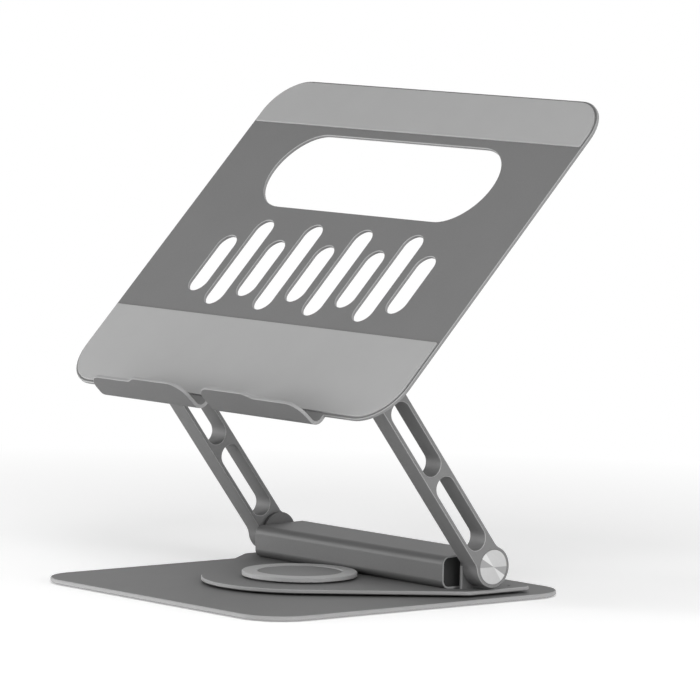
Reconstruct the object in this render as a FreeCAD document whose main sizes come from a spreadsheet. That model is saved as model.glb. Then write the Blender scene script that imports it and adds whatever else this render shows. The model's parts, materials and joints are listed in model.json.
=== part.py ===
import FreeCAD, Part
import math
import os
from types import SimpleNamespace

import Sketcher

# A folding laptop stand: a rounded base plate, a swivel plate that turns on a flanged pivot, two
# slotted arms on friction hinges, a tilting tray with hooks folded from its front edge, and a
# hub in an aluminium sleeve between the hinge ears.
# Frame: X to the right, Y to the back, Z up, origin on the swivel axis at the grip sheet's underside.

# Driving dimensions, in millimetres and degrees.
SIZES = {
    # Base plate and the grip sheet under it
    "base_width": 209.2,
    "base_depth": 212.6,
    "base_setback": 2.25,
    "base_corner": 25.0,
    "base_thickness": 2.5,
    "base_bevel": 0.5,
    "grip_thickness": 0.6,
    "grip_margin": 6.0,
    # Swivel plate with the two hinge ears folded up from it
    "swivel_gap": 1.3,
    "plate_thickness": 2.2,
    "plate_width": 194.8,
    "plate_front_radius": 53.8,
    "plate_back": 84.8,
    "plate_shoulder": 41.4,
    "plate_corner": 6.5,
    "plate_bevel": 0.5,
    "ear_radius": 11.2,
    "ear_foot_corner": 1.0,
    "ear_relief": 1.5,
    "ear_bevel": 0.3,
    "rear_hole_radius": 1.6,
    "rear_hole_x": 88.0,
    "rear_hole_y": 74.3,
    # Swivel pivot
    "pivot_radius": 20.0,
    "flange_radius": 28.5,
    "flange_thickness": 0.6,
    "ring_outer_radius": 31.6,
    "ring_inner_radius": 23.1,
    "ring_thickness": 2.3,
    "ring_bevel": 0.5,
    "inlay_recess": 0.4,
    "lower_glide_radius": 42.0,
    "upper_glide_thickness": 0.5,
    "glide_play": 0.05,
    "pivot_screw_circle": 13.0,
    # Countersunk screws
    "screw_radius": 1.5,
    "screw_head_radius": 2.9,
    "screw_length": 5.2,
    # Arms
    "hinge_y": 54.0,
    "hinge_height": 12.6,
    "arm_angle": 127.77,
    "arm_length": 130.2,
    "arm_span": 198.6,
    "arm_thickness": 13.0,
    "arm_width": 17.3,
    "arm_bevel": 0.3,
    "arm_recess": 0.7,
    "arm_recess_margin": 1.5,
    "barrel_radius": 11.2,
    "barrel_blend": 9.0,
    "head_radius": 8.9,
    "window_width": 13.2,
    "window_start": 13.9,
    "window_end": 14.3,
    "window_web": 4.0,
    # Friction hinges
    "running_clearance": 0.05,
    "side_play": 0.05,
    "thrust_washer": 0.4,
    "web_thickness": 3.6,
    "cap_recess": 1.2,
    "cap_rise": 0.3,
    "cap_fit": 0.2,
    "lower_cap_radius": 9.4,
    "lower_shaft_radius": 4.0,
    "lower_pocket_radius": 8.4,
    "upper_cap_radius": 6.8,
    "upper_shaft_radius": 3.0,
    "upper_pocket_radius": 6.0,
    "disc_spring": 0.8,
    "disc_springs_play": 0.1,
    "pocket_play": 0.4,
    "nut_thickness": 3.6,
    "shaft_tail": 1.0,
    # Tray, one folded sheet
    "tray_tilt": 46.2,
    "tray_width": 280.0,
    "tray_depth": 227.2,
    "tray_corner": 25.0,
    "tray_thickness": 2.0,
    "tray_bevel": 0.4,
    "tray_hinge_from_front": 34.8,
    "tray_hinge_drop": 12.1,
    "pill_centre": 162.2,
    "pill_height": 53.4,
    "pill_length": 186.8,
    "slot_width": 14.7,
    "slot_pitch": 21.4,
    "short_slot_length": 40.6,
    "short_slot_centre": 91.6,
    "long_slot_length": 61.7,
    "long_slot_centre": 94.3,
    "hook_reach": 8.4,
    "hook_bend": 6.0,
    "hook_inner_x": 7.2,
    "hook_outer_x": 91.5,
    "hook_low_height": 17.6,
    "hook_high_height": 20.7,
    "hook_step_start": 46.4,
    "hook_step_end": 55.2,
    "hook_corner": 10.5,
    "hook_edge": 0.4,
    # Silicone pads on the tray
    "pad_thickness": 0.9,
    "pad_inset": 1.5,
    "pad_bevel": 0.3,
    "pad_corner": 1.0,
    "upper_pad_start": 194.9,
    "lower_pad_end": 55.5,
    # Brackets that carry the tray
    "bracket_thickness": 2.2,
    "bracket_half_length": 14.0,
    "bracket_foot": 26.0,
    "bracket_corner": 2.5,
    "rivet_radius": 2.0,
    "rivet_head_radius": 3.6,
    "rivet_head": 1.1,
    "rivet_spacing": 16.0,
    # Hub
    "hub_front": 33.6,
    "hub_depth": 35.9,
    "hub_height": 18.4,
    "hub_front_height": 17.6,
    "hub_front_corner": 4.5,
    "hub_back_corner": 2.4,
    "hub_wall": 0.9,
    "hub_end_gap": 3.4,
    "plug_start": 48.0,
    "plug_screw_inset": 4.0,
    "plug_recess": 0.8,
    "plug_wall": 1.6,
    "plug_fit": 0.1,
    "board_depth": 30.0,
    "board_thickness": 1.6,
    "board_height": 4.6,
    "board_bite": 4.0,
    "chip_size": 9.0,
    "chip_thickness": 1.2,
    "port_pitch": 19.0,
    "port_margin": 0.3,
    "usb_a_width": 13.2,
    "usb_a_height": 5.8,
    "usb_a_depth": 14.0,
    "usb_a_tongue_width": 10.6,
    "usb_a_tongue_height": 1.8,
    "usb_a_tongue_gap": 0.8,
    "usb_c_width": 9.0,
    "usb_c_height": 3.3,
    "usb_c_depth": 8.0,
    "usb_c_tongue_width": 6.0,
    "usb_c_tongue_height": 0.7,
    "shell_wall": 0.35,
    "tongue_setback": 1.0,
}

doc = FreeCAD.newDocument("laptop_stand")
sheet = doc.addObject("Spreadsheet::Sheet", "Sizes")
for line, (alias, number) in enumerate(SIZES.items(), start=1):
    sheet.set(f"A{line}", alias)
    sheet.set(f"B{line}", str(number))
    sheet.setAlias(f"B{line}", alias)
doc.recompute()


class Size:
    """A length or an angle, known both as an expression of the sheet and as a number."""

    def __init__(self, text, value):
        self.text = text
        self.value = value

    @staticmethod
    def of(amount):
        return amount if isinstance(amount, Size) else Size(repr(amount), amount)

    def join(self, sign, other, value):
        return Size(f"({self.text} {sign} {other.text})", value)

    def __add__(self, other):
        other = Size.of(other)
        return self.join("+", other, self.value + other.value)

    def __sub__(self, other):
        other = Size.of(other)
        return self.join("-", other, self.value - other.value)

    def __mul__(self, other):
        other = Size.of(other)
        return self.join("*", other, self.value * other.value)

    def __truediv__(self, other):
        other = Size.of(other)
        return self.join("/", other, self.value / other.value)

    def __radd__(self, other):
        return Size.of(other) + self

    def __rsub__(self, other):
        return Size.of(other) - self

    def __rmul__(self, other):
        return Size.of(other) * self

    def __neg__(self):
        return Size(f"(-1 * {self.text})", -self.value)


def cosine(angle):
    return Size(f"cos({angle.text})", math.cos(math.radians(angle.value)))


def sine(angle):
    return Size(f"sin({angle.text})", math.sin(math.radians(angle.value)))


dim = SimpleNamespace(**{alias: Size(f"Sizes.{alias}", number) for alias, number in SIZES.items()})
ZERO = Size("0", 0.0)
RIGHT, LEFT = 1, -1
X_AXIS = FreeCAD.Vector(1, 0, 0)
Y_AXIS = FreeCAD.Vector(0, 1, 0)
Z_AXIS = FreeCAD.Vector(0, 0, 1)
QUARTER_TURN = 90.0
# A pocket that takes less than this many cubic millimetres has missed.
SMALLEST_CUT = 0.5
# Two places closer than this are the same.
SAME_PLACE = 1e-4

# Levels and places that several pieces share.
base_bottom = dim.grip_thickness
base_top = base_bottom + dim.base_thickness
plate_bottom = base_top + dim.swivel_gap
plate_top = plate_bottom + dim.plate_thickness
hinge_z = plate_top + dim.hinge_height
arm_outer = dim.arm_span / 2
arm_inner = arm_outer - dim.arm_thickness
arm_seat = arm_inner + dim.arm_recess
ear_outer = arm_seat - dim.thrust_washer
ear_inner = ear_outer - dim.plate_thickness
hub_end = ear_inner - dim.hub_end_gap
hub_back = dim.hub_front + dim.hub_depth
upper_hinge_y = dim.hinge_y + dim.arm_length * cosine(dim.arm_angle)
upper_hinge_z = hinge_z + dim.arm_length * sine(dim.arm_angle)
tray_front = -dim.tray_hinge_from_front
tray_back = tray_front + dim.tray_depth
tray_under = dim.tray_hinge_drop
tray_top = tray_under + dim.tray_thickness

nodes = []


# Helpers for sketches and solid features

def new_body(name):
    body = doc.addObject("PartDesign::Body", name)
    nodes.append(body)
    return body


def new_sketch(body, name, role, height=ZERO):
    """A sketch on one of the body's own planes, raised along that plane's normal."""
    plane = next(item for item in body.Origin.OriginFeatures if item.Role == role)
    sketch = body.newObject("Sketcher::SketchObject", f"{body.Label}_{name}")
    sketch.AttachmentSupport = (plane, [""])
    sketch.MapMode = "FlatFace"
    sketch.setExpression("AttachmentOffset.Base.z", height.text)
    return sketch


def bind(sketch, kind, size, *where):
    index = sketch.addConstraint(Sketcher.Constraint(kind, *where, size.value))
    sketch.setExpression(f"Constraints[{index}]", size.text)


def bind_point(sketch, x, y, geometry, point):
    bind(sketch, "DistanceX", x, -1, 1, geometry, point)
    bind(sketch, "DistanceY", y, -1, 1, geometry, point)


def flat(x, y):
    return FreeCAD.Vector(x, y, 0)


def circle_outline(sketch, x, y, radius):
    centre = flat(x.value, y.value)
    index = sketch.addGeometry(Part.Circle(centre, Z_AXIS, radius.value))
    bind_point(sketch, x, y, index, 3)
    bind(sketch, "Radius", radius, index)


def round_outline(sketch, corners):
    """A convex outline of arcs about the given centres, counterclockwise, joined by tangent lines."""
    count = len(corners)
    outward = []
    for index in range(count):
        x0, y0, r0 = (size.value for size in corners[index])
        x1, y1, r1 = (size.value for size in corners[(index + 1) % count])
        heading = math.atan2(y1 - y0, x1 - x0)
        lean = math.asin((r0 - r1) / math.hypot(x1 - x0, y1 - y0))
        outward.append(heading - math.pi / 2 + lean)
    arcs = []
    for index, (x, y, radius) in enumerate(corners):
        start = outward[index - 1]
        end = outward[index]
        while end <= start:
            end += 2 * math.pi
        circle = Part.Circle(flat(x.value, y.value), Z_AXIS, radius.value)
        arcs.append(sketch.addGeometry(Part.ArcOfCircle(circle, start, end)))
    lines = []
    for index in range(count):
        here = sketch.Geometry[arcs[index]].EndPoint
        there = sketch.Geometry[arcs[(index + 1) % count]].StartPoint
        lines.append(sketch.addGeometry(Part.LineSegment(here, there)))
    for index, (x, y, radius) in enumerate(corners):
        following = arcs[(index + 1) % count]
        sketch.addConstraint(Sketcher.Constraint("Tangent", arcs[index], 2, lines[index], 1))
        sketch.addConstraint(Sketcher.Constraint("Tangent", lines[index], 2, following, 1))
        bind_point(sketch, x, y, arcs[index], 3)
        bind(sketch, "Radius", radius, arcs[index])


def rectangle_corners(x0, y0, x1, y1, lower_radius, upper_radius=None):
    """The corners of an upright rectangle, with one radius below and one above."""
    upper = upper_radius or lower_radius
    return [
        (x0 + lower_radius, y0 + lower_radius, lower_radius),
        (x1 - lower_radius, y0 + lower_radius, lower_radius),
        (x1 - upper, y1 - upper, upper),
        (x0 + upper, y1 - upper, upper),
    ]


def path_outline(sketch, vertices, arcs=None):
    """A closed outline through the vertices. arcs gives a stretch its radius, and 1 or -1 for a
    centre to its left or right."""
    arcs = arcs or {}
    count = len(vertices)
    points = [flat(x.value, y.value) for x, y in vertices]
    items = []
    for index in range(count):
        here = points[index]
        there = points[(index + 1) % count]
        if index not in arcs:
            items.append(sketch.addGeometry(Part.LineSegment(here, there)))
            continue
        radius, side = arcs[index]
        chord = there - here
        across = FreeCAD.Vector(-chord.y, chord.x, 0).normalize()
        depth = math.sqrt(max(radius.value ** 2 - chord.Length ** 2 / 4, 0))
        centre = (here + there) / 2 + across * depth * side
        middle = centre - across * radius.value * side
        items.append(sketch.addGeometry(Part.Arc(here, middle, there)))
    ends = []
    for index, item in enumerate(items):
        turned = index in arcs and arcs[index][1] < 0
        ends.append((2, 1) if turned else (1, 2))
    for index, (x, y) in enumerate(vertices):
        last = index - 1
        joined = (items[last], ends[last][1], items[index], ends[index][0])
        sketch.addConstraint(Sketcher.Constraint("Coincident", *joined))
        bind_point(sketch, x, y, items[index], ends[index][0])
    for index, (radius, _) in arcs.items():
        bind(sketch, "Radius", radius, items[index])


def pad(body, name, sketch, length, back=False, symmetric=False):
    feature = body.newObject("PartDesign::Pad", f"{body.Label}_{name}")
    feature.Profile = sketch
    feature.Reversed = back
    feature.SideType = "Symmetric" if symmetric else "One side"
    feature.setExpression("Length", length.text)
    doc.recompute()
    return feature


def pocket(body, name, sketch, depth=None, back=False):
    """Cuts to a depth, or right through both ways where no depth is given."""
    before = body.Shape.Volume
    feature = body.newObject("PartDesign::Pocket", f"{body.Label}_{name}")
    feature.Profile = sketch
    if depth is None:
        feature.SideType = "Symmetric"
        feature.Type = "ThroughAll"
    else:
        feature.Reversed = back
        feature.setExpression("Length", depth.text)
    doc.recompute()
    if before - body.Shape.Volume < SMALLEST_CUT:
        raise RuntimeError(f"{feature.Label} cuts nothing")
    return feature


def repeat(body, name, feature, sketch, axis, length, count):
    """Repeats a feature along one of its sketch's axes."""
    pattern = body.newObject("PartDesign::LinearPattern", f"{body.Label}_{name}")
    pattern.Originals = [feature]
    pattern.Direction = (sketch, [axis])
    pattern.Mode = "Extent"
    pattern.Occurrences = count
    pattern.setExpression("Length", length.text)
    body.Tip = pattern
    doc.recompute()


def mirror(body, name, features, role):
    plane = next(item for item in body.Origin.OriginFeatures if item.Role == role)
    mirrored = body.newObject("PartDesign::Mirrored", f"{body.Label}_{name}")
    mirrored.Originals = features
    mirrored.MirrorPlane = (plane, [""])
    body.Tip = mirrored
    doc.recompute()


def dress(body, kind, name, size, pick):
    """A chamfer or a fillet on the edges of the finished form that pick accepts."""
    base = body.Tip
    edges = [f"Edge{number}" for number, edge in enumerate(base.Shape.Edges, start=1) if pick(edge)]
    if not edges:
        raise RuntimeError(f"no edge for {name} on {body.Label}")
    feature = body.newObject(f"PartDesign::{kind}", f"{body.Label}_{name}")
    feature.Base = (base, edges)
    feature.setExpression("Radius" if kind == "Fillet" else "Size", size.text)
    doc.recompute()


def near(value, size):
    return abs(value - size.value) < SAME_PLACE


def edges_at(axis, size):
    """Accepts the edges that lie wholly in the plane at that place on the axis."""
    def pick(edge):
        box = edge.BoundBox
        low = getattr(box, f"{axis}Min")
        high = getattr(box, f"{axis}Max")
        return near(low, size) and near(high, size)
    return pick


# Helpers for turned and plain pieces

def place(item, x=ZERO, y=ZERO, z=ZERO, turn=None):
    """Sets a piece's place, and its turn about an axis as (axis, angle)."""
    if turn:
        axis, angle = turn
        item.Placement = FreeCAD.Placement(FreeCAD.Vector(), FreeCAD.Rotation(axis, angle.value))
        item.setExpression("Placement.Rotation.Angle", angle.text)
    for letter, size in (("x", x), ("y", y), ("z", z)):
        item.setExpression(f"Placement.Base.{letter}", size.text)
    return item


def cylinder(name, radius, length, x=ZERO, y=ZERO, z=ZERO, side=None):
    """An upright cylinder, or with a side one that lies along X, outwards on that side."""
    item = doc.addObject("Part::Cylinder", name)
    item.setExpression("Radius", radius.text)
    item.setExpression("Height", length.text)
    turn = None if side is None else (Y_AXIS, Size.of(QUARTER_TURN * side))
    return place(item, x, y, z, turn)


def cone(name, low_radius, high_radius, length, x=ZERO, y=ZERO, z=ZERO, side=None):
    item = doc.addObject("Part::Cone", name)
    item.setExpression("Radius1", low_radius.text)
    item.setExpression("Radius2", high_radius.text)
    item.setExpression("Height", length.text)
    turn = None if side is None else (Y_AXIS, Size.of(QUARTER_TURN * side))
    return place(item, x, y, z, turn)


def box(name, low, spans):
    item = doc.addObject("Part::Box", name)
    for prop, span in zip(("Length", "Width", "Height"), spans):
        item.setExpression(prop, span.text)
    return place(item, *low)


def cut(name, base, tool):
    item = doc.addObject("Part::Cut", name)
    item.Base = base
    item.Tool = tool
    return item


def fuse(name, pieces):
    item = doc.addObject("Part::MultiFuse", name)
    item.Shapes = pieces
    return item


def washer(name, inner, outer, length, x=ZERO, y=ZERO, z=ZERO, side=None):
    disc = cylinder(f"{name}_disc", outer, length, x, y, z, side)
    hole = cylinder(f"{name}_hole", inner, length, x, y, z, side)
    return cut(name, disc, hole)


def node(name, pieces):
    """A piece, or a group of like pieces, that goes into the part under this name."""
    group = doc.addObject("Part::Compound", name)
    group.Links = pieces
    nodes.append(group)
    return group


def on_turntable(item):
    return place(item, y=dim.hinge_y, z=hinge_z)


def on_arms(item):
    return place(item, y=dim.hinge_y, z=hinge_z, turn=(X_AXIS, dim.arm_angle))


def on_tray(item):
    return place(item, y=upper_hinge_y, z=upper_hinge_z, turn=(X_AXIS, dim.tray_tilt))


# Base plate, grip sheet and swivel pivot

def screw_places():
    reach = dim.pivot_screw_circle
    return [(reach, ZERO), (ZERO, reach), (-reach, ZERO), (ZERO, -reach)]


def countersunk_screw(name, x, y, z, length):
    """A screw that points up, with its head's flat face at z."""
    head_height = dim.screw_head_radius - dim.screw_radius
    head = cone(f"{name}_head", dim.screw_head_radius, dim.screw_radius, head_height, x, y, z)
    shank = cylinder(f"{name}_shank", dim.screw_radius, length, x, y, z)
    return fuse(name, [head, shank])


def countersinks(body, name, places, level):
    """Countersunk holes that open downwards at the level."""
    head_height = dim.screw_head_radius - dim.screw_radius
    holes = new_sketch(body, f"{name}_holes", "XY_Plane", level)
    for x, y in places:
        circle_outline(holes, x, y, dim.screw_radius + dim.running_clearance)
    pocket(body, f"{name}_hole", holes)
    heads = new_sketch(body, f"{name}_heads", "XY_Plane", level)
    for x, y in places:
        circle_outline(heads, x, y, dim.screw_head_radius + dim.running_clearance)
    sink = body.newObject("PartDesign::Pocket", f"{body.Label}_{name}_sink")
    sink.Profile = heads
    sink.Reversed = True
    sink.TaperAngle = -45
    sink.setExpression("Length", head_height.text)
    doc.recompute()


def base_corners(margin):
    """The base's outline, taken in by a margin. It sits a little to the back of the swivel axis."""
    half_width = dim.base_width / 2 - margin
    half_depth = dim.base_depth / 2 - margin
    middle = dim.base_setback
    corner = dim.base_corner - margin
    return rectangle_corners(-half_width, middle - half_depth, half_width, middle + half_depth, corner)


def make_base():
    body = new_body("base_plate")
    outline = new_sketch(body, "outline", "XY_Plane", base_bottom)
    round_outline(outline, base_corners(ZERO))
    pad(body, "sheet", outline, dim.base_thickness)
    bottom = edges_at("Z", base_bottom)
    top = edges_at("Z", base_top)
    dress(body, "Chamfer", "bevel", dim.base_bevel, lambda edge: bottom(edge) or top(edge))
    countersinks(body, "pivot", screw_places(), base_bottom)

    grip = new_body("base_grip")
    outline = new_sketch(grip, "outline", "XY_Plane")
    round_outline(outline, base_corners(dim.grip_margin))
    pad(grip, "sheet", outline, dim.grip_thickness)


def make_pivot():
    flange_bottom = plate_top + dim.upper_glide_thickness + 2 * dim.glide_play
    flange_top = flange_bottom + dim.flange_thickness
    body = new_body("pivot_disc")
    profile = new_sketch(body, "profile", "XZ_Plane")
    path_outline(profile, [
        (ZERO, base_top),
        (dim.pivot_radius, base_top),
        (dim.pivot_radius, flange_bottom),
        (dim.flange_radius, flange_bottom),
        (dim.flange_radius, flange_top),
        (ZERO, flange_top),
    ])
    turned = body.newObject("PartDesign::Revolution", "pivot_disc_turned")
    turned.Profile = profile
    turned.ReferenceAxis = (profile, ["V_Axis"])
    turned.Angle = 360
    doc.recompute()
    tapped = new_sketch(body, "tapped", "XY_Plane", base_top)
    for x, y in screw_places():
        circle_outline(tapped, x, y, dim.screw_radius + dim.running_clearance)
    depth = dim.screw_length - dim.base_thickness + dim.shaft_tail
    pocket(body, "tapped_hole", tapped, depth, back=True)

    screws = []
    for number, (x, y) in enumerate(screw_places(), start=1):
        screws.append(countersunk_screw(f"pivot_screw_{number}", x, y, base_bottom, dim.screw_length))
    node("pivot_screws", screws)

    ring = new_body("pivot_ring")
    section = new_sketch(ring, "section", "XZ_Plane")
    ring_top = flange_top + dim.ring_thickness
    path_outline(section, [
        (dim.ring_inner_radius, flange_top),
        (dim.ring_outer_radius, flange_top),
        (dim.ring_outer_radius, ring_top - dim.ring_bevel),
        (dim.ring_outer_radius - dim.ring_bevel, ring_top),
        (dim.ring_inner_radius + dim.ring_bevel, ring_top),
        (dim.ring_inner_radius, ring_top - dim.ring_bevel),
    ])
    turned = ring.newObject("PartDesign::Revolution", "pivot_ring_turned")
    turned.Profile = section
    turned.ReferenceAxis = (section, ["V_Axis"])
    turned.Angle = 360
    doc.recompute()

    inlay_radius = dim.ring_inner_radius - dim.cap_fit
    inlay_thickness = dim.ring_thickness - dim.inlay_recess
    node("pivot_inlay", [cylinder("inlay", inlay_radius, inlay_thickness, z=flange_top)])
    hole = dim.pivot_radius + dim.running_clearance
    lower_height = dim.swivel_gap - dim.glide_play
    lower = washer("lower_glide_ring", hole, dim.lower_glide_radius, lower_height, z=base_top)
    node("lower_glide", [lower])
    upper_level = plate_top + dim.glide_play
    upper_radius = dim.flange_radius - dim.pocket_play
    upper = washer("upper_glide_ring", hole, upper_radius, dim.upper_glide_thickness, z=upper_level)
    node("upper_glide", [upper])


# Swivel plate with its ears

def hub_screw_places():
    x = dim.plug_start + dim.plug_screw_inset
    y = dim.hub_front + dim.hub_depth / 2
    return [(x, y), (-x, y)]


def make_swivel_plate():
    body = new_body("swivel_plate")
    outline = new_sketch(body, "outline", "XY_Plane", plate_bottom)
    side = dim.plate_width / 2 - dim.plate_corner
    rear = dim.plate_back - dim.plate_corner
    round_outline(outline, [
        (ZERO, ZERO, dim.plate_front_radius),
        (side, dim.plate_shoulder, dim.plate_corner),
        (side, rear, dim.plate_corner),
        (-side, rear, dim.plate_corner),
        (-side, dim.plate_shoulder, dim.plate_corner),
    ])
    pad(body, "sheet", outline, dim.plate_thickness)
    bottom = edges_at("Z", plate_bottom)
    top = edges_at("Z", plate_top)
    dress(body, "Chamfer", "bevel", dim.plate_bevel, lambda edge: bottom(edge) or top(edge))
    holes = new_sketch(body, "holes", "XY_Plane", plate_bottom)
    circle_outline(holes, ZERO, ZERO, dim.pivot_radius + dim.running_clearance)
    for x in (dim.rear_hole_x, -dim.rear_hole_x):
        circle_outline(holes, x, dim.rear_hole_y, dim.rear_hole_radius)
    pocket(body, "hole", holes)
    countersinks(body, "hub", hub_screw_places(), plate_bottom)

    # Each ear is cut free on three sides and folded up, so it leaves a window of its own length.
    ear_height = hinge_z + dim.ear_radius - plate_bottom
    relief = dim.ear_radius + dim.ear_relief
    windows = new_sketch(body, "windows", "XY_Plane", plate_bottom)
    for inner, outer in ((ear_inner - ear_height, ear_inner), (-ear_inner, ear_height - ear_inner)):
        front = dim.hinge_y - relief
        back = dim.hinge_y + relief
        round_outline(windows, rectangle_corners(inner, front, outer, back, dim.ear_relief))
    pocket(body, "window", windows)
    ears = new_sketch(body, "ear", "YZ_Plane", ear_inner)
    foot = dim.ear_radius - dim.ear_foot_corner
    foot_level = plate_bottom + dim.ear_foot_corner
    round_outline(ears, [
        (dim.hinge_y - foot, foot_level, dim.ear_foot_corner),
        (dim.hinge_y + foot, foot_level, dim.ear_foot_corner),
        (dim.hinge_y, hinge_z, dim.ear_radius),
    ])
    ear = pad(body, "ear", ears, dim.plate_thickness)
    mirror(body, "ears", [ear], "YZ_Plane")
    faces = [edges_at("X", side * level) for side in (LEFT, RIGHT) for level in (ear_inner, ear_outer)]

    def on_ear(edge):
        above = edge.BoundBox.ZMax > plate_top.value + SAME_PLACE
        return above and any(pick(edge) for pick in faces)

    dress(body, "Chamfer", "ear_bevel", dim.ear_bevel, on_ear)
    bores = new_sketch(body, "bores", "YZ_Plane")
    circle_outline(bores, dim.hinge_y, hinge_z, dim.lower_shaft_radius)
    pocket(body, "bore", bores)


# Arms and their friction hinges

def make_arm(name, side):
    """The arm in its own frame: hinge axis along X through the origin, bar along Y."""
    body = new_body(name)
    turned = side == LEFT
    inner = side * arm_inner
    barrel = new_sketch(body, "barrel", "YZ_Plane", inner)
    circle_outline(barrel, ZERO, ZERO, dim.barrel_radius)
    pad(body, "barrel", barrel, dim.arm_thickness, back=turned)
    bar = new_sketch(body, "bar", "YZ_Plane", inner)
    half_width = dim.arm_width / 2
    round_outline(bar, [(ZERO, ZERO, half_width), (dim.arm_length, ZERO, dim.head_radius)])
    pad(body, "bar", bar, dim.arm_thickness, back=turned)

    def at_barrel(edge):
        box = edge.BoundBox
        along = near(box.XLength, dim.arm_thickness)
        return along and 0 < box.YMin < dim.barrel_radius.value

    dress(body, "Fillet", "blend", dim.barrel_blend, at_barrel)
    windows = new_sketch(body, "windows", "YZ_Plane", inner)
    radius = dim.window_width / 2
    length = (dim.arm_length - dim.window_start - dim.window_end - dim.window_web) / 2
    for start in (dim.window_start, dim.window_start + length + dim.window_web):
        end = start + length
        round_outline(windows, [(start + radius, ZERO, radius), (end - radius, ZERO, radius)])
    pocket(body, "window", windows)
    faces = [edges_at("X", inner), edges_at("X", side * arm_outer)]
    dress(body, "Chamfer", "bevel", dim.arm_bevel, lambda edge: any(pick(edge) for pick in faces))

    # The swivel plate's ear turns in a shallow round recess in the arm's inner face.
    seat = new_sketch(body, "ear_seat", "YZ_Plane", inner)
    circle_outline(seat, ZERO, ZERO, dim.ear_radius + dim.arm_recess_margin)
    pocket(body, "ear_seat", seat, dim.arm_recess, back=not turned)

    lower_depth = dim.arm_thickness - dim.arm_recess - dim.web_thickness
    upper_depth = dim.arm_thickness - dim.web_thickness
    hinges = (
        ("lower", ZERO, dim.lower_shaft_radius, dim.lower_pocket_radius, dim.lower_cap_radius, lower_depth),
        ("upper", dim.arm_length, dim.upper_shaft_radius, dim.upper_pocket_radius, dim.upper_cap_radius,
         upper_depth),
    )
    for level, along, shaft, hollow, cap, pocket_depth in hinges:
        bore = new_sketch(body, f"{level}_bore", "YZ_Plane", inner)
        circle_outline(bore, along, ZERO, shaft + dim.running_clearance)
        pocket(body, f"{level}_bore", bore)
        deep = new_sketch(body, f"{level}_pocket", "YZ_Plane", side * arm_outer)
        circle_outline(deep, along, ZERO, hollow)
        pocket(body, f"{level}_pocket", deep, pocket_depth, back=turned)
        recess = new_sketch(body, f"{level}_recess", "YZ_Plane", side * arm_outer)
        circle_outline(recess, along, ZERO, cap + dim.cap_fit)
        pocket(body, f"{level}_recess", recess, dim.cap_recess, back=turned)
    on_arms(body)


def make_cap(name, side, along, radius):
    """A disc in the arm's recess with a face that rises to a low cone."""
    seat = side * (arm_outer - dim.cap_recess)
    face = side * arm_outer
    disc = cylinder(f"{name}_disc", radius, dim.cap_recess, seat, along, ZERO, side)
    crown = cone(f"{name}_crown", radius, dim.cap_rise, dim.cap_rise, face, along, ZERO, side)
    return fuse(f"{name}_turned", [disc, crown])


def friction_pack(level, side, y, shaft_radius, hollow_radius, fixed_to, seat):
    """The shaft from the ear's inner face to its tail, with its disc springs, nut and washer. The
    washer lies against the arm's seat."""
    name = f"{level}_{'right' if side == RIGHT else 'left'}"
    root = side * fixed_to
    springs_start = seat + dim.web_thickness + dim.disc_springs_play
    nut_start = springs_start + 2 * dim.disc_spring + dim.disc_springs_play
    tail = nut_start + dim.nut_thickness + dim.shaft_tail
    bore = shaft_radius + dim.running_clearance
    shaft = cylinder(f"{name}_shaft", shaft_radius, tail - fixed_to, root, y, ZERO, side)
    thrust_start = side * (seat - dim.thrust_washer + dim.side_play)
    thrust_length = dim.thrust_washer - 2 * dim.side_play
    thrust = washer(f"{name}_thrust", bore, hollow_radius, thrust_length, thrust_start, y, ZERO, side)
    springs = []
    for number in range(2):
        start = side * (springs_start + number * dim.disc_spring)
        outer = hollow_radius - dim.pocket_play
        springs.append(washer(f"{name}_spring_{number}", bore, outer, dim.disc_spring, start, y, ZERO, side))
    hexagon = doc.addObject("Part::Prism", f"{name}_hexagon")
    hexagon.Polygon = 6
    hexagon.setExpression("Circumradius", (hollow_radius - 2 * dim.pocket_play).text)
    hexagon.setExpression("Height", dim.nut_thickness.text)
    place(hexagon, side * nut_start, y, ZERO, (Y_AXIS, Size.of(QUARTER_TURN * side)))
    thread = cylinder(f"{name}_thread", bore, dim.nut_thickness, side * nut_start, y, ZERO, side)
    nut = cut(f"{name}_nut", hexagon, thread)
    return shaft, [thrust] + springs, nut


def make_hinges():
    make_arm("left_arm", LEFT)
    make_arm("right_arm", RIGHT)
    for name, side in (("left", LEFT), ("right", RIGHT)):
        lower = make_cap(f"{name}_lower_cap", side, ZERO, dim.lower_cap_radius)
        on_arms(node(f"{name}_hinge_cap", [lower]))
    caps = []
    for name, side in (("left", LEFT), ("right", RIGHT)):
        caps.append(make_cap(f"{name}_upper_cap", side, dim.arm_length, dim.upper_cap_radius))
    on_arms(node("upper_hinge_caps", caps))
    kinds = (
        ("lower", dim.lower_shaft_radius, dim.lower_pocket_radius, ear_inner, arm_seat, on_turntable),
        ("upper", dim.upper_shaft_radius, dim.upper_pocket_radius, bracket_inner, arm_inner, on_tray),
    )
    for level, radius, hollow, fixed_to, seat, carry in kinds:
        packs = [friction_pack(level, side, ZERO, radius, hollow, fixed_to, seat) for side in (LEFT, RIGHT)]
        carry(node(f"{level}_hinge_shafts", [shaft for shaft, _, _ in packs]))
        carry(node(f"{level}_hinge_washers", [item for _, washers, _ in packs for item in washers]))
        carry(node(f"{level}_hinge_nuts", [nut for _, _, nut in packs]))


# Tray, pads and brackets, in the tray's own frame: hinge axis through the origin, sheet along Y

bracket_inner = arm_inner - dim.thrust_washer - dim.bracket_thickness


def rivet_places():
    x = bracket_inner - dim.bracket_foot / 2
    y = dim.rivet_spacing / 2
    return [(x, y), (x, -y), (-x, y), (-x, -y)]


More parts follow.
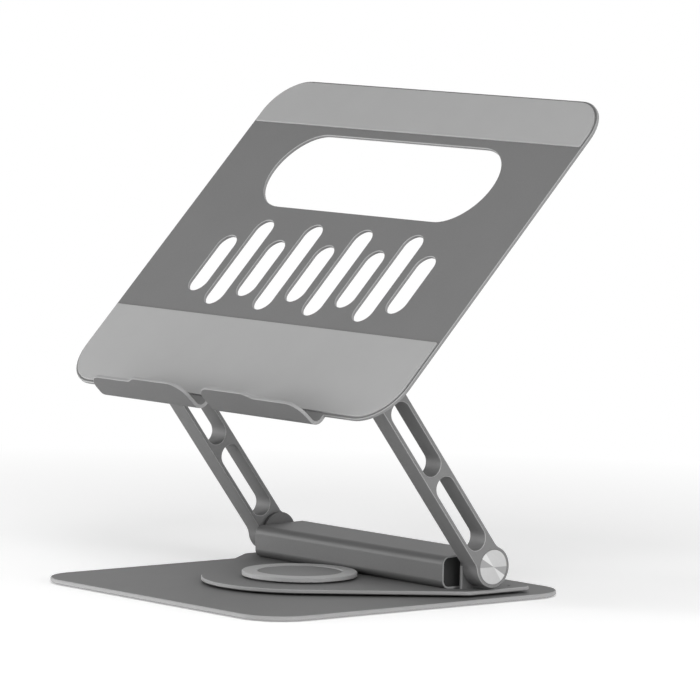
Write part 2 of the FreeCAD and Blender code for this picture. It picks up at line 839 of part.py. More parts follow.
def make_tray():
    body = new_body("tray_plate")
    half_width = dim.tray_width / 2
    outline = new_sketch(body, "outline", "XY_Plane", tray_under)
    round_outline(outline, rectangle_corners(-half_width, tray_front, half_width, tray_back, dim.tray_corner))
    pad(body, "sheet", outline, dim.tray_thickness)
    bottom = edges_at("Z", tray_under)
    top = edges_at("Z", tray_top)
    dress(body, "Chamfer", "bevel", dim.tray_bevel, lambda edge: bottom(edge) or top(edge))

    # A hook is a tab that runs on from the front edge, bends up and stands across it.
    front = tray_front - dim.hook_reach
    bend_end = tray_under + dim.hook_bend
    inside = dim.hook_bend - dim.tray_thickness
    start = tray_front + dim.tray_bevel
    bend = new_sketch(body, "hook_bend", "YZ_Plane", dim.hook_inner_x)
    path_outline(bend, [
        (front, bend_end),
        (front + dim.hook_bend, tray_under),
        (start, tray_under),
        (start, tray_top),
        (front + dim.hook_bend, tray_top),
        (front + dim.tray_thickness, bend_end),
    ], {0: (dim.hook_bend, 1), 4: (inside, -1)})
    curl = pad(body, "hook_bend", bend, dim.hook_outer_x - dim.hook_inner_x)
    low = tray_top + dim.hook_low_height
    high = tray_top + dim.hook_high_height
    rise = dim.hook_high_height - dim.hook_low_height
    run = dim.hook_step_end - dim.hook_step_start
    step_radius = (run * run + rise * rise) / (4 * rise)
    middle = (dim.hook_step_start + run / 2, low + rise / 2)
    upright = new_sketch(body, "hook_upright", "XZ_Plane", -front - dim.tray_thickness)
    path_outline(upright, [
        (dim.hook_inner_x, bend_end),
        (dim.hook_outer_x, bend_end),
        (dim.hook_outer_x, low - dim.hook_corner),
        (dim.hook_outer_x - dim.hook_corner, low),
        (dim.hook_step_end, low),
        middle,
        (dim.hook_step_start, high),
        (dim.hook_inner_x + dim.hook_corner, high),
        (dim.hook_inner_x, high - dim.hook_corner),
    ], {2: (dim.hook_corner, 1), 4: (step_radius, -1), 5: (step_radius, 1), 7: (dim.hook_corner, 1)})
    tab = pad(body, "hook_upright", upright, dim.tray_thickness)
    mirror(body, "hooks", [curl, tab], "YZ_Plane")
    hook_faces = [edges_at("Y", front), edges_at("Y", front + dim.tray_thickness)]

    def on_hook(edge):
        above = edge.BoundBox.ZMax > bend_end.value + SAME_PLACE
        return above and any(pick(edge) for pick in hook_faces)

    dress(body, "Fillet", "hook_edge", dim.hook_edge, on_hook)

    pill = new_sketch(body, "pill", "XY_Plane", tray_under)
    radius = dim.pill_height / 2
    reach = dim.pill_length / 2 - radius
    level = tray_front + dim.pill_centre
    round_outline(pill, [(reach, level, radius), (-reach, level, radius)])
    pocket(body, "pill", pill)
    radius = dim.slot_width / 2
    slots = (
        ("short", 5, dim.short_slot_length, dim.short_slot_centre),
        ("long", 4, dim.long_slot_length, dim.long_slot_centre),
    )
    for name, count, length, centre in slots:
        span = 2 * (count - 1) * dim.slot_pitch
        first = -span / 2
        level = tray_front + centre
        reach = length / 2 - radius
        sketch = new_sketch(body, f"{name}_slot", "XY_Plane", tray_under)
        round_outline(sketch, [(first, level - reach, radius), (first, level + reach, radius)])
        slot = pocket(body, f"{name}_slot", sketch)
        repeat(body, f"{name}_slots", slot, sketch, "H_Axis", span, count)
    lowest = (tray_front + dim.lower_pad_end).value
    highest = (tray_front + dim.upper_pad_start).value

    def around_cut_out(edge):
        box = edge.BoundBox
        level = bottom(edge) or top(edge)
        return level and lowest < box.YMin and box.YMax < highest

    dress(body, "Chamfer", "cut_out_bevel", dim.tray_bevel, around_cut_out)
    rivets = new_sketch(body, "rivet_holes", "XY_Plane", tray_under)
    for x, y in rivet_places():
        circle_outline(rivets, x, y, dim.rivet_radius + dim.running_clearance)
    pocket(body, "rivet_hole", rivets)
    on_tray(body)


def make_pad(name, low, high, low_corner, high_corner):
    body = new_body(name)
    half_width = dim.tray_width / 2 - dim.pad_inset
    outline = new_sketch(body, "outline", "XY_Plane", tray_top)
    round_outline(outline, rectangle_corners(-half_width, low, half_width, high, low_corner, high_corner))
    pad(body, "sheet", outline, dim.pad_thickness)
    dress(body, "Chamfer", "bevel", dim.pad_bevel, edges_at("Z", tray_top + dim.pad_thickness))
    on_tray(body)


def make_pads():
    round_corner = dim.tray_corner - dim.pad_inset
    upper_low = tray_front + dim.upper_pad_start
    make_pad("upper_pad", upper_low, tray_back - dim.pad_inset, dim.pad_corner, round_corner)
    lower_high = tray_front + dim.lower_pad_end
    make_pad("lower_pad", tray_front + dim.pad_inset, lower_high, round_corner, dim.pad_corner)


def make_bracket(name, side):
    """An angle of sheet: a foot against the tray and an ear down to the hinge."""
    body = new_body(name)
    foot_bottom = tray_under - dim.bracket_thickness
    half_length = dim.bracket_half_length
    ear = new_sketch(body, "ear", "YZ_Plane", side * bracket_inner)
    level = tray_under - dim.bracket_corner
    reach = half_length - dim.bracket_corner
    round_outline(ear, [
        (ZERO, ZERO, dim.head_radius),
        (reach, level, dim.bracket_corner),
        (-reach, level, dim.bracket_corner),
    ])
    pad(body, "ear", ear, dim.bracket_thickness, back=side == LEFT)
    foot = new_sketch(body, "foot", "XY_Plane", foot_bottom)
    edge = bracket_inner + dim.bracket_thickness / 2
    start = bracket_inner - dim.bracket_foot
    low, high = (start, edge) if side == RIGHT else (-edge, -start)
    round_outline(foot, rectangle_corners(low, -reach, high, reach, dim.bracket_thickness / 4))
    pad(body, "foot", foot, dim.bracket_thickness)
    bore = new_sketch(body, "bore", "YZ_Plane")
    circle_outline(bore, ZERO, ZERO, dim.upper_shaft_radius)
    pocket(body, "bore", bore)
    holes = new_sketch(body, "holes", "XY_Plane", foot_bottom)
    for x, y in rivet_places():
        if x.value * side > 0:
            circle_outline(holes, x, y, dim.rivet_radius + dim.running_clearance)
    pocket(body, "rivet_hole", holes)
    on_tray(body)


def make_brackets():
    make_bracket("left_tray_bracket", LEFT)
    make_bracket("right_tray_bracket", RIGHT)
    head_bottom = tray_under - dim.bracket_thickness - dim.rivet_head
    shank = dim.rivet_head + dim.bracket_thickness + dim.tray_thickness
    rivets = []
    for number, (x, y) in enumerate(rivet_places(), start=1):
        name = f"rivet_{number}"
        head = cylinder(f"{name}_head", dim.rivet_head_radius, dim.rivet_head, x, y, head_bottom)
        stem = cylinder(f"{name}_stem", dim.rivet_radius, shank, x, y, head_bottom)
        rivets.append(fuse(name, [head, stem]))
    on_tray(node("bracket_rivets", rivets))


# Hub between the ears

hub_bottom = plate_top
board_bottom = hub_bottom + dim.hub_wall + dim.board_height
board_top = board_bottom + dim.board_thickness
board_back = hub_back - dim.hub_wall - dim.plug_fit
USB_A_COUNT = 4
PORT_COUNT = USB_A_COUNT + 1


def port_x(number):
    """The place of a socket in the row, counted from the left. The inlet is the last one."""
    return (number - (PORT_COUNT - 1) / 2) * dim.port_pitch


def hub_section(inset, floor_inset):
    """The hub's outline across its length, taken in from the outside and from the floor."""
    front = dim.hub_front_corner - inset
    back = dim.hub_back_corner - inset
    front_centre = dim.hub_front + dim.hub_front_corner
    back_centre = hub_back - dim.hub_back_corner
    low = hub_bottom + floor_inset
    return [
        (front_centre, low + front, front),
        (back_centre, low + back, back),
        (back_centre, hub_bottom + dim.hub_height - dim.hub_back_corner, back),
        (front_centre, hub_bottom + dim.hub_front_height - dim.hub_front_corner, front),
    ]


def make_hub_sleeve():
    body = new_body("hub_sleeve")
    section = new_sketch(body, "section", "YZ_Plane")
    round_outline(section, hub_section(ZERO, ZERO))
    round_outline(section, hub_section(dim.hub_wall, dim.hub_wall))
    pad(body, "extrusion", section, 2 * hub_end, symmetric=True)
    ports = new_sketch(body, "ports", "XZ_Plane", -hub_back)
    half_a = dim.usb_a_width / 2 + dim.port_margin
    half_c = dim.usb_c_width / 2 + dim.port_margin
    low = board_top - dim.port_margin
    high_a = board_top + dim.usb_a_height + dim.port_margin
    high_c = board_top + dim.usb_c_height + dim.port_margin
    for number in range(USB_A_COUNT):
        x = port_x(number)
        round_outline(ports, rectangle_corners(x - half_a, low, x + half_a, high_a, dim.port_margin))
    x = port_x(PORT_COUNT - 1)
    end = (high_c - low) / 2
    round_outline(ports, [(x + half_c - end, low + end, end), (x - half_c + end, low + end, end)])
    pocket(body, "port", ports, dim.hub_wall * 2, back=True)
    holes = new_sketch(body, "screw_holes", "XY_Plane", hub_bottom)
    for x, y in hub_screw_places():
        circle_outline(holes, x, y, dim.screw_radius + dim.running_clearance)
    pocket(body, "screw_hole", holes, dim.hub_wall * 2, back=True)


def make_plug(name, side):
    """A moulding that closes an end of the sleeve, carries the board in a slot and takes a screw. It
    is cored out above the slot."""
    body = new_body(name)
    section = new_sketch(body, "section", "YZ_Plane", side * dim.plug_start)
    round_outline(section, hub_section(dim.hub_wall + dim.plug_fit, dim.hub_wall))
    length = hub_end - dim.plug_recess - dim.plug_start
    pad(body, "block", section, length, back=side == LEFT)
    slot = new_sketch(body, "slot", "YZ_Plane", side * dim.plug_start)
    path_outline(slot, [
        (board_back - dim.board_depth - dim.plug_fit, board_bottom),
        (hub_back, board_bottom),
        (hub_back, board_top + dim.plug_fit),
        (board_back - dim.board_depth - dim.plug_fit, board_top + dim.plug_fit),
    ])
    pocket(body, "slot", slot, dim.board_bite, back=side == RIGHT)
    core = new_sketch(body, "core", "YZ_Plane", side * dim.plug_start)
    core_low = board_top + dim.plug_fit + dim.plug_wall
    core_high = hub_bottom + dim.hub_front_height - dim.hub_wall - dim.plug_fit - dim.plug_wall
    round_outline(core, rectangle_corners(dim.hub_front + dim.hub_front_corner, core_low,
                                          hub_back - dim.hub_front_corner, core_high, dim.plug_wall))
    pocket(body, "core", core, length - dim.plug_wall, back=side == RIGHT)
    hole = new_sketch(body, "screw_hole", "XY_Plane", hub_bottom)
    for x, y in hub_screw_places():
        if x.value * side > 0:
            circle_outline(hole, x, y, dim.screw_radius + dim.running_clearance)
    pocket(body, "screw_hole", hole, dim.hub_wall + dim.screw_length, back=True)


def usb_shell(name, x, width, height, depth):
    """A metal receptacle shell, open to the back."""
    half = width / 2
    front = hub_back - depth
    wall = dim.shell_wall
    outer = box(f"{name}_outer", (x - half, front, board_top), (width, depth, height))
    inner_spans = (width - 2 * wall, depth - wall, height - 2 * wall)
    inner = box(f"{name}_inner", (x - half + wall, front + wall, board_top + wall), inner_spans)
    return cut(name, outer, inner)


def make_usb_c_shell():
    """The inlet's shell, an oval tube that is closed at its front."""
    body = new_body("usb_c_shell")
    x = port_x(PORT_COUNT - 1)
    end = dim.usb_c_height / 2
    reach = dim.usb_c_width / 2 - end
    level = board_top + end
    outside = new_sketch(body, "outside", "XZ_Plane", -hub_back)
    round_outline(outside, [(x + reach, level, end), (x - reach, level, end)])
    pad(body, "tube", outside, dim.usb_c_depth)
    hollow = new_sketch(body, "hollow", "XZ_Plane", -hub_back)
    inner_end = end - dim.shell_wall
    round_outline(hollow, [(x + reach, level, inner_end), (x - reach, level, inner_end)])
    pocket(body, "hollow", hollow, dim.usb_c_depth - dim.shell_wall, back=True)


def usb_tongue(name, x, width, height, depth, level):
    front = hub_back - depth + dim.shell_wall
    length = depth - dim.shell_wall - dim.tongue_setback
    return box(name, (x - width / 2, front, level), (width, length, height))


def make_hub_electronics():
    bite = dim.board_bite - dim.plug_fit
    length = 2 * (dim.plug_start + bite)
    low = (-length / 2, board_back - dim.board_depth, board_bottom)
    node("hub_board", [box("board", low, (length, dim.board_depth, dim.board_thickness))])
    half = dim.chip_size / 2
    chip_front = board_back - dim.board_depth + half
    chip = box("chip", (-half, chip_front, board_top), (dim.chip_size, dim.chip_size, dim.chip_thickness))
    node("hub_chip", [chip])
    shells = []
    tongues = []
    tongue_level = board_top + dim.usb_a_height - dim.shell_wall - dim.usb_a_tongue_gap
    tongue_level = tongue_level - dim.usb_a_tongue_height
    for number in range(USB_A_COUNT):
        x = port_x(number)
        name = f"usb_a_{number + 1}"
        shells.append(usb_shell(f"{name}_shell", x, dim.usb_a_width, dim.usb_a_height, dim.usb_a_depth))
        tongues.append(usb_tongue(f"{name}_tongue", x, dim.usb_a_tongue_width, dim.usb_a_tongue_height,
                                  dim.usb_a_depth, tongue_level))
    node("usb_a_shells", shells)
    node("usb_a_tongues", tongues)
    make_usb_c_shell()
    x = port_x(PORT_COUNT - 1)
    level = board_top + dim.usb_c_height / 2 - dim.usb_c_tongue_height / 2
    node("usb_c_tongue", [usb_tongue("usb_c_blade", x, dim.usb_c_tongue_width, dim.usb_c_tongue_height,
                                     dim.usb_c_depth, level)])


def make_hub_screws():
    screws = []
    length = dim.plate_thickness + dim.hub_wall + dim.screw_length - dim.shaft_tail
    for number, (x, y) in enumerate(hub_screw_places(), start=1):
        screws.append(countersunk_screw(f"hub_screw_{number}", x, y, plate_bottom, length))
    node("hub_screws", screws)


make_base()
make_pivot()
make_swivel_plate()
make_hub_sleeve()
make_plug("hub_left_plug", LEFT)
make_plug("hub_right_plug", RIGHT)
make_hub_electronics()
make_hub_screws()
make_hinges()
make_tray()
make_pads()
make_brackets()
doc.recompute()

for item in doc.Objects:
    if any(word in item.State for word in ("Invalid", "Error")):
        raise RuntimeError(f"{item.Label} failed: {item.State}")
for item in nodes:
    if item.Shape.isNull() or not item.Shape.isValid():
        raise RuntimeError(f"{item.Label} has no valid shape")

os.makedirs("parts", exist_ok=True)
for item in nodes:
    item.Shape.exportStep(f"parts/{item.Label}.step")
    solids = len(item.Shape.Solids)
    print(f"{item.Label}: {solids} solid(s), {item.Shape.Volume / 1000:.2f} cm3")
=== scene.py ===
import json
import math

import bmesh
import bpy
from mathutils import Matrix, Vector


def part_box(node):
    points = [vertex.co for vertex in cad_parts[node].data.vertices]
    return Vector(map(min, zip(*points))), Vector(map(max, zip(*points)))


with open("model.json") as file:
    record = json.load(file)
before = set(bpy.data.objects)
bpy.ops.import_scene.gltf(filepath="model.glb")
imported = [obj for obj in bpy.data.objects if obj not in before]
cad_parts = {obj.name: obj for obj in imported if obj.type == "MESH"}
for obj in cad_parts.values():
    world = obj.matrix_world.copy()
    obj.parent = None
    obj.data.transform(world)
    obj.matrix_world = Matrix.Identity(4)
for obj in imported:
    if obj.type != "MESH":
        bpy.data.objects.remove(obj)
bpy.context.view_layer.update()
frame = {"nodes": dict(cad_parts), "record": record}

record = frame["record"]
MM = 0.001

# Places on the stand that its finishes follow, in metres in the shared frame. A hinge is its y and z,
# and levels and sides are the lower and the upper one.
hinges = {joint["name"]: joint["pos_m"][1:] for joint in record["behaviour"]["joints"]}
LOWER_HINGE = hinges["arm_lift"]
UPPER_HINGE = hinges["tray_tilt"]
BASE_LEVELS = [corner[2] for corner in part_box("base_plate")]
PLATE_LEVELS = (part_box("swivel_plate")[0][2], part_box("hub_sleeve")[0][2])
EAR_RADIUS = 11.2 * MM
EAR_EDGE = 0.2 * MM
HUB_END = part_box("hub_sleeve")[1][0]
ARM_SIDES = [corner[0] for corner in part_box("right_arm")]
ARM_BEVEL = 0.5 * MM
SKIN = 0.05 * MM

# The tray, in its own slope: levels are square to the sheet and the front is along it, both from the
# upper hinge. The hooks' ends and steps are to each side of the middle.
TRAY_SLOPE = math.radians(46.2)
TRAY_LEVELS = (12.1 * MM, 14.1 * MM)
TRAY_FRONT = -34.8 * MM
TRAY_BEVEL = 0.45 * MM
HOOK_ENDS = (7.2 * MM, 91.5 * MM)
HOOK_STEP = (46.4 * MM, 55.2 * MM)
HOOK_TOPS = (34.8 * MM, 31.7 * MM)
HOOK_CORNER = 10.5 * MM
HOOK_BEVEL = 0.3 * MM

# How light each finish is, from 0 to 1.
COATED_STEEL = 0.145
ANODISED = 0.166
# The arms' copy of the anodising is painted lighter for the light they catch, and the inlay takes the
# same level as its tone. The sleeve's copy is painted darker for its shade.
ANODISED_ARMS_PAINTED_LIGHT_INLAY_TONE = 0.19
ANODISED_SLEEVE_PAINTED_DARKER = 0.12
ANODISED_LIGHT = 0.4
TURNED = 0.54
PLATED = 0.55
# Levels of the painted highlights along cut edges.
EDGE_HIGHLIGHT = 0.34
ARM_EDGE_HIGHLIGHT = 0.4

# How strongly the painted highlight shows on a cut edge: a square wall less than a bevel.
WALL_SHARE = 0.4
HOOK_SHARE = 0.75

# Grain of the finishes: how fine it is, per metre, and how deep.
BLAST_GRAIN = 1500.0
BLAST_CLOUD = 38.0
MOULD_GRAIN = 1800.0
MOULD_CLOUD = 45.0
DRAWN_GRAIN = 700.0
LATHE_WANDER = 900.0
LATHE_PITCH = 0.25 * MM
GRAIN_DEPTH = 0.04 * MM
SCRATCH_DEPTH = 0.03 * MM

# The two pairs of wedges of painted reflection on a turned face, a darker pair and a painted glint:
# where each pair lies, and the cosine at which it begins.
PAINTED_DARK_WEDGES = (math.radians(329.0), 0.855)
PAINTED_GLINT_WEDGES = (math.radians(274.0), 0.914)
WEDGE_SHARPNESS = 60.0


class Socket:
    """A node's output. Arithmetic on it adds Math nodes."""

    def __init__(self, finish, link):
        self.finish = finish
        self.link = link

    def math(self, operation, first, second=0.0):
        return self.finish.add("ShaderNodeMath", {"operation": operation}, {0: first, 1: second})

    def __add__(self, other):
        return self.math("ADD", self, other)

    def __radd__(self, other):
        return self.math("ADD", other, self)

    def __sub__(self, other):
        return self.math("SUBTRACT", self, other)

    def __rsub__(self, other):
        return self.math("SUBTRACT", other, self)

    def __mul__(self, other):
        return self.math("MULTIPLY", self, other)

    def __rmul__(self, other):
        return self.math("MULTIPLY", other, self)

    def __gt__(self, other):
        return self.math("GREATER_THAN", self, other)

    def __lt__(self, other):
        return self.math("LESS_THAN", self, other)

    def __abs__(self):
        return self.math("ABSOLUTE", self)

    def at_least(self, other):
        return self.math("MAXIMUM", self, other)

    def at_most(self, other):
        return self.math("MINIMUM", self, other)

    def root(self):
        return self.math("SQRT", self)

    def sine(self):
        return self.math("SINE", self)

    def cosine(self):
        return self.math("COSINE", self)

    def angle_to(self, across):
        return self.math("ARCTAN2", self, across)

    def capped(self):
        """Held between 0 and 1."""
        return self.at_least(0.0).at_most(1.0)

    def within(self, levels):
        """1 between two levels, and 0 on the faces at them and outside."""
        return (self > levels[0] + SKIN) * (self < levels[1] - SKIN)


class Finish:
    """The nodes of one material, or of the world."""

    def __init__(self, owner):
        self.owner = owner
        owner.use_nodes = True
        self.tree = owner.node_tree
        self.tree.nodes.clear()

    def add(self, kind, settings=None, inputs=None, output=0):
        """Makes a node, sets it up, then fills its inputs with values or links."""
        node = self.tree.nodes.new(kind)
        for name, value in (settings or {}).items():
            setattr(node, name, value)
        for name, value in (inputs or {}).items():
            if isinstance(value, Socket):
                self.tree.links.new(value.link, node.inputs[name])
            else:
                node.inputs[name].default_value = value
        return Socket(self, node.outputs[output]) if len(node.outputs) else None

    def place(self):
        """Where a point lies on the piece, in metres."""
        return self.add("ShaderNodeTexCoord", output="Object")

    def split(self):
        """A point's three coordinates."""
        first = self.add("ShaderNodeSeparateXYZ", None, {0: self.place()})
        return [Socket(self, output) for output in first.link.node.outputs]

    def noise(self, scale, detail=2.0):
        inputs = {"Vector": self.place(), "Scale": scale, "Detail": detail}
        return self.add("ShaderNodeTexNoise", None, inputs)

    def tint(self, amount, dark, light):
        return self.add("ShaderNodeMix", {"data_type": "RGBA"}, {0: amount, 6: dark, 7: light}, 2)

    def spread(self, amount, colour, share):
        """A colour that runs from a little darker to a little lighter."""
        return self.tint(amount, shade_of(colour, 1.0 - share), shade_of(colour, 1.0 + share))

    def relief(self, height, strength, depth):
        inputs = {"Height": height, "Strength": strength, "Distance": depth}
        return self.add("ShaderNodeBump", None, inputs)

    def close(self, inputs):
        shader = self.add("ShaderNodeBsdfPrincipled", None, inputs)
        self.add("ShaderNodeOutputMaterial", None, {"Surface": shader})
        return self.owner


def new_finish(name):
    return Finish(bpy.data.materials.new(name))


def grey(level):
    return (level, level, level, 1.0)


def shade_of(colour, factor):
    return (*(channel * factor for channel in colour[:3]), 1.0)


# Painted highlights on cut edges, which make them brighter than the faces: up to 1 on an edge, and 0
# elsewhere

# Painted highlight on the base plate's cut edge.
def base_edge_highlight(finish):
    _, _, z = finish.split()
    return z.within(BASE_LEVELS)


def plate_edge_highlight(finish):
    """Painted highlight on the cut edge of the swivel plate, and on that of its two ears below the
    hinge.
    """
    _, y, z = finish.split()
    across = abs(y - LOWER_HINGE[0])
    ear_side = (across > EAR_RADIUS - EAR_EDGE) * (across < EAR_RADIUS + SKIN)
    ear_edge_highlight = ear_side * z.within((PLATE_LEVELS[1], LOWER_HINGE[1]))
    return z.within(PLATE_LEVELS).at_least(ear_edge_highlight)


def tray_edge_highlight(finish):
    """Painted highlight on the cut edge of the tray's sheet, of its openings and of its two stepped
    hooks.
    """
    x, y, z = finish.split()
    across = y - UPPER_HINGE[0]
    rise = z - UPPER_HINGE[1]
    along = across * math.cos(TRAY_SLOPE) + rise * math.sin(TRAY_SLOPE)
    level = rise * math.cos(TRAY_SLOPE) - across * math.sin(TRAY_SLOPE)
    wall = WALL_SHARE * level.within(TRAY_LEVELS)
    bevel = level.within((TRAY_LEVELS[1] - TRAY_BEVEL, TRAY_LEVELS[1]))
    sheet_edge = wall.at_least(bevel) * (along > TRAY_FRONT - SKIN)
    return sheet_edge.at_least(HOOK_SHARE * hook_edge_highlight(abs(x), level) * (along < TRAY_FRONT))


def hook_edge_highlight(side, level):
    """The painted highlight along the edge round a hook: its top steps down in a smooth curve, and
    its two corners are round.
    """
    step = ((side - HOOK_STEP[0]) * (1.0 / (HOOK_STEP[1] - HOOK_STEP[0]))).capped()
    drop = (HOOK_TOPS[0] - HOOK_TOPS[1]) * (step * step * (3.0 - 2.0 * step))
    top = HOOK_TOPS[0] - drop
    from_end = (side - HOOK_ENDS[0]).at_most(HOOK_ENDS[1] - side)
    inward = (HOOK_CORNER - from_end).at_least(0.0)
    upward = (HOOK_CORNER - top + level).at_least(0.0)
    return (inward * inward + upward * upward).root() > HOOK_CORNER - HOOK_BEVEL


def arm_edge_highlight(finish):
    """Painted highlights on the bevels along an arm's outline and round its windows."""
    x, _, _ = finish.split()
    side = abs(x)
    inner = side.within((ARM_SIDES[0], ARM_SIDES[0] + ARM_BEVEL))
    outer = side.within((ARM_SIDES[1] - ARM_BEVEL, ARM_SIDES[1]))
    return inner.at_least(outer)


# Painted highlight on the sleeve's two end faces.
def sleeve_end_highlight(finish):
    x, _, _ = finish.split()
    return abs(x) > HUB_END - SKIN


# Finishes

def blasted(name, level, highlight_mask=None, highlight_level=EDGE_HIGHLIGHT, metal=0.3, roughness=0.65):
    """Metal with a fine blasted grain. A painted highlight may make its cut edge brighter."""
    finish = new_finish(name)
    grain = finish.noise(BLAST_GRAIN, 3.0)
    tone = 0.75 * grain + 0.25 * finish.noise(BLAST_CLOUD)
    colour = finish.spread(tone, grey(level), 0.16)
    if highlight_mask:
        colour = finish.tint(highlight_mask(finish), colour, finish.spread(tone, grey(highlight_level), 0.05))
    return finish.close({
        "Base Color": colour,
        "Metallic": metal,
        "Specular IOR Level": 0.3,
        "Roughness": roughness - 0.06 + 0.12 * grain,
        "Normal": finish.relief(grain, 0.2, GRAIN_DEPTH),
    })


def turned(name, centre):
    """A face turned on a lathe about the X axis: fine rings, and two pairs of wedges of painted
    reflection, a darker pair and a painted glint."""
    finish = new_finish(name)
    _, y, z = finish.split()
    across = y - centre[0]
    rise = z - centre[1]
    radius = (across * across + rise * rise).root()
    twice_round = rise.angle_to(across) * 2.0
    # Wedges of painted reflection: one pair painted darker, the other a painted glint.
    painted_dark, painted_glint = (
        (((twice_round - turn).cosine() - start) * WEDGE_SHARPNESS).capped()
        for turn, start in (PAINTED_DARK_WEDGES, PAINTED_GLINT_WEDGES)
    )
    rings = (radius * (2 * math.pi / LATHE_PITCH)).sine()
    wander = finish.noise(LATHE_WANDER)
    plain = finish.spread(wander, grey(TURNED), 0.05)
    with_painted_glint = finish.tint(painted_glint, plain, grey(TURNED * 1.25))
    return finish.close({
        "Base Color": finish.tint(painted_dark, with_painted_glint, grey(TURNED * 0.64)),
        "Metallic": 0.9,
        "Roughness": 0.34 + 0.06 * wander,
        "Normal": finish.relief(0.5 + 0.5 * rings, 0.1, SCRATCH_DEPTH),
    })


def moulded(name, colour, roughness):
    """Plastic or rubber with a fine matt grain."""
    finish = new_finish(name)
    grain = finish.noise(MOULD_GRAIN)
    tone = 0.4 * grain + 0.6 * finish.noise(MOULD_CLOUD)
    return finish.close({
        "Base Color": finish.spread(tone, colour, 0.05),
        "Roughness": roughness - 0.05 + 0.1 * grain,
        "Normal": finish.relief(grain, 0.2, GRAIN_DEPTH),
    })


def plated(name):
    """Bright plated steel with faint drawn lines."""
    finish = new_finish(name)
    scratch = finish.noise(DRAWN_GRAIN, 4.0)
    return finish.close({
        "Base Color": finish.tint(scratch, grey(PLATED * 0.88), grey(PLATED * 1.06)),
        "Metallic": 1.0,
        "Roughness": 0.22 + 0.14 * scratch,
        "Normal": finish.relief(scratch, 0.08, SCRATCH_DEPTH),
    })


def dress(obj, material):
    obj.data.materials.clear()
    obj.data.materials.append(material)


# A piece takes the finish of its slot in the record, unless it has its own.
slot_finishes = {
    "grey_aluminium": blasted("anodised_grey", ANODISED),
    "light_aluminium": blasted("anodised_light", ANODISED_LIGHT),
    "bright_steel": plated("plated_steel"),
    "pad_silicone": moulded("silicone", grey(0.35), 0.68),
    "foot_rubber": moulded("rubber", grey(0.035), 0.75),
    "glide_plastic": moulded("acetal", grey(0.03), 0.45),
    "black_plastic": moulded("black_moulding", grey(0.014), 0.5),
    "blue_plastic": moulded("blue_moulding", (0.02, 0.09, 0.35), 0.42),
    "circuit_board": moulded("solder_mask", (0.01, 0.07, 0.035), 0.35),
}
turned_lower = turned("turned_lower", LOWER_HINGE)
# The arms' anodising is painted lighter, for the light on them.
anodised_arms_painted_lighter = blasted("anodised_arms_painted_lighter", ANODISED_ARMS_PAINTED_LIGHT_INLAY_TONE, arm_edge_highlight, ARM_EDGE_HIGHLIGHT)
own_finishes = {
    "base_plate": blasted("coated_base", COATED_STEEL, base_edge_highlight),
    "swivel_plate": blasted("coated_swivel_plate", COATED_STEEL, plate_edge_highlight),
    "tray_plate": blasted("anodised_tray", ANODISED, tray_edge_highlight),
    # The sleeve's anodising is painted darker, for the shade on it.
    "hub_sleeve": blasted("anodised_sleeve_painted_darker", ANODISED_SLEEVE_PAINTED_DARKER, sleeve_end_highlight, metal=0.42, roughness=0.56),
    "pivot_inlay": blasted("anodised_inlay", ANODISED_ARMS_PAINTED_LIGHT_INLAY_TONE),
    "left_arm": anodised_arms_painted_lighter,
    "right_arm": anodised_arms_painted_lighter,
    "left_hinge_cap": turned_lower,
    "right_hinge_cap": turned_lower,
    "upper_hinge_caps": turned("turned_upper", UPPER_HINGE),
}
slots = {entry["node"]: entry["material_slot"] for entry in record["subparts"]}
for name, obj in frame["nodes"].items():
    dress(obj, own_finishes.get(name) or slot_finishes[slots[name]])


# Stage: a pale floor, soft light and the camera, in metres and watts

FLOOR_REACH = 30.0
FLOOR_FADE = (0.3, 0.72)
FLOOR_SEEN = 0.28
FLOOR_BOUNCE = 0.42
WORLD_STRENGTH = 0.26
MIDDLE = Vector((0, 0, 0.1))
LAMPS = (  # name, place, width and power
    ("left_softbox", (-1.2, -1.3, 0.45), 0.9, 4.0),
    ("low_softbox", (-0.62, -0.5, 0.12), 0.2, 2.4),
    ("high_softbox", (-0.2, -1.5, 1.3), 1.2, 4.0),
    ("front_softbox", (0.65, -0.5, 0.75), 0.5, 4.0),
    ("right_softbox", (1.6, 0.1, 0.4), 0.7, 7.0),
    ("back_softbox", (0.4, 1.5, 0.55), 1.0, 5.5),
)


def put_in_scene(name, data):
    obj = bpy.data.objects.new(name, data)
    bpy.context.scene.collection.objects.link(obj)
    return obj


def seen_directly(finish):
    """1 for rays from the camera, or from a mirror-like or clear surface."""
    rays = finish.add("ShaderNodeLightPath").link.node.outputs
    camera, glossy, clear = (
        Socket(finish, rays[f"Is {kind} Ray"]) for kind in ("Camera", "Glossy", "Transmission")
    )
    return camera.at_least(glossy).at_least(clear)


def floor_finish():
    """Pale, with a share of its own light, and plain white further out."""
    finish = new_finish("floor")
    x, y, _ = finish.split()
    near, far = FLOOR_FADE
    away = (((x * x + y * y).root() - near) * (1.0 / (far - near))).capped()
    pale = finish.add("ShaderNodeBsdfPrincipled", None, {
        "Base Color": finish.tint(finish.noise(0.5, 1.0), grey(0.9), grey(0.92)),
        "Roughness": 0.9,
        "Emission Color": finish.tint(seen_directly(finish), grey(FLOOR_BOUNCE), grey(FLOOR_SEEN)),
        "Emission Strength": 1.0,
    })
    white = finish.add("ShaderNodeEmission", None, {"Color": grey(1.0)})
    inputs = {0: away * seen_directly(finish), 1: pale, 2: white}
    mixed = finish.add("ShaderNodeMixShader", None, inputs)
    finish.add("ShaderNodeOutputMaterial", None, {"Surface": mixed})
    return finish.owner


def make_floor():
    """A floor that keeps the stand's shadow."""
    mesh = bmesh.new()
    bmesh.ops.create_grid(mesh, x_segments=1, y_segments=1, size=FLOOR_REACH)
    data = bpy.data.meshes.new("floor")
    mesh.to_mesh(data)
    mesh.free()
    floor = put_in_scene("floor", data)
    dress(floor, floor_finish())


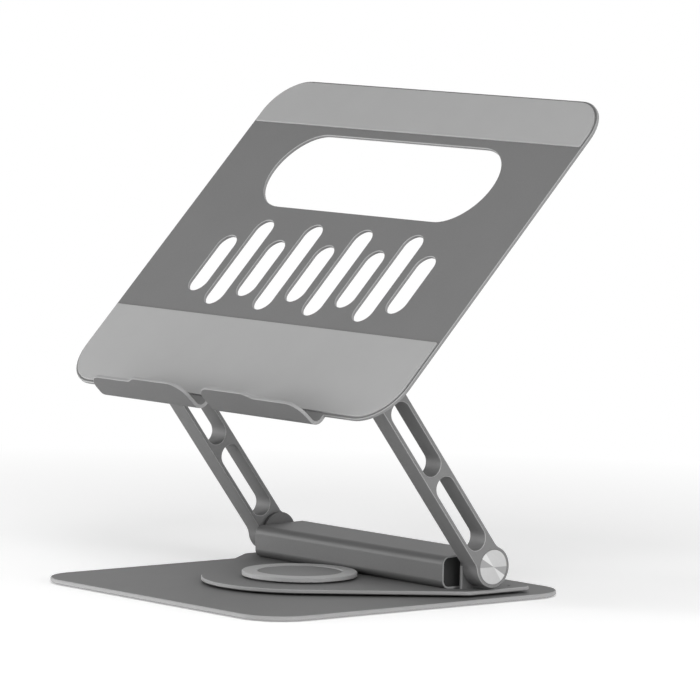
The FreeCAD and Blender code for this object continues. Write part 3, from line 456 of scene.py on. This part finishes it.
def make_lamp(name, place, width, power):
    data = bpy.data.lights.new(name, "AREA")
    data.shape = "DISK"
    data.size = width
    data.energy = power
    lamp = put_in_scene(name, data)
    lamp.location = place
    lamp.rotation_euler = (MIDDLE - lamp.location).to_track_quat("-Z", "Y").to_euler()
    lamp.visible_camera = False


def make_world():
    """Soft light all round, seen as plain white."""
    finish = Finish(bpy.data.worlds.new("studio"))
    inputs = {"Color": grey(1.0), "Strength": WORLD_STRENGTH}
    soft = finish.add("ShaderNodeBackground", None, inputs)
    white = finish.add("ShaderNodeBackground", None, {"Color": grey(1.0), "Strength": 1.0})
    inputs = {0: seen_directly(finish), 1: soft, 2: white}
    mixed = finish.add("ShaderNodeMixShader", None, inputs)
    finish.add("ShaderNodeOutputWorld", None, {"Surface": mixed})
    bpy.context.scene.world = finish.owner


def make_camera():
    """The photograph's own view."""
    turn = math.radians(50.4725)
    height = math.radians(5.1627)
    roll = math.radians(-1.0197)
    picture = 700              # the picture's width, in pixels
    focal = 5964.492           # the lens, in pixels
    scale = 1829.5775          # pixels to a metre at the target
    across = -52.4776          # the target's place from the picture's middle, in pixels
    down_by = 238.9522
    target = Vector((0, -1.2 * MM, 0))
    sensor = 36.0              # in mm, as the lens is below
    level_part = math.cos(height)
    ahead = -Vector((math.sin(turn) * level_part, -math.cos(turn) * level_part, math.sin(height)))
    right = Vector((math.cos(turn), math.sin(turn), 0))
    down = ahead.cross(right)
    level = math.cos(roll) * right + math.sin(roll) * down
    plumb = math.cos(roll) * down - math.sin(roll) * right
    centre = target - (level * across + plumb * down_by + ahead * focal) / scale
    data = bpy.data.cameras.new("camera")
    data.sensor_width = sensor
    data.lens = focal / picture * sensor
    camera = put_in_scene("camera", data)
    facing = Matrix((level, -plumb, -ahead)).transposed()
    camera.matrix_world = Matrix.Translation(centre) @ facing.to_4x4()
    bpy.context.scene.camera = camera


make_floor()
make_world()
for lamp in LAMPS:
    make_lamp(*lamp)
make_camera()
bpy.context.scene.view_settings.view_transform = "Standard"
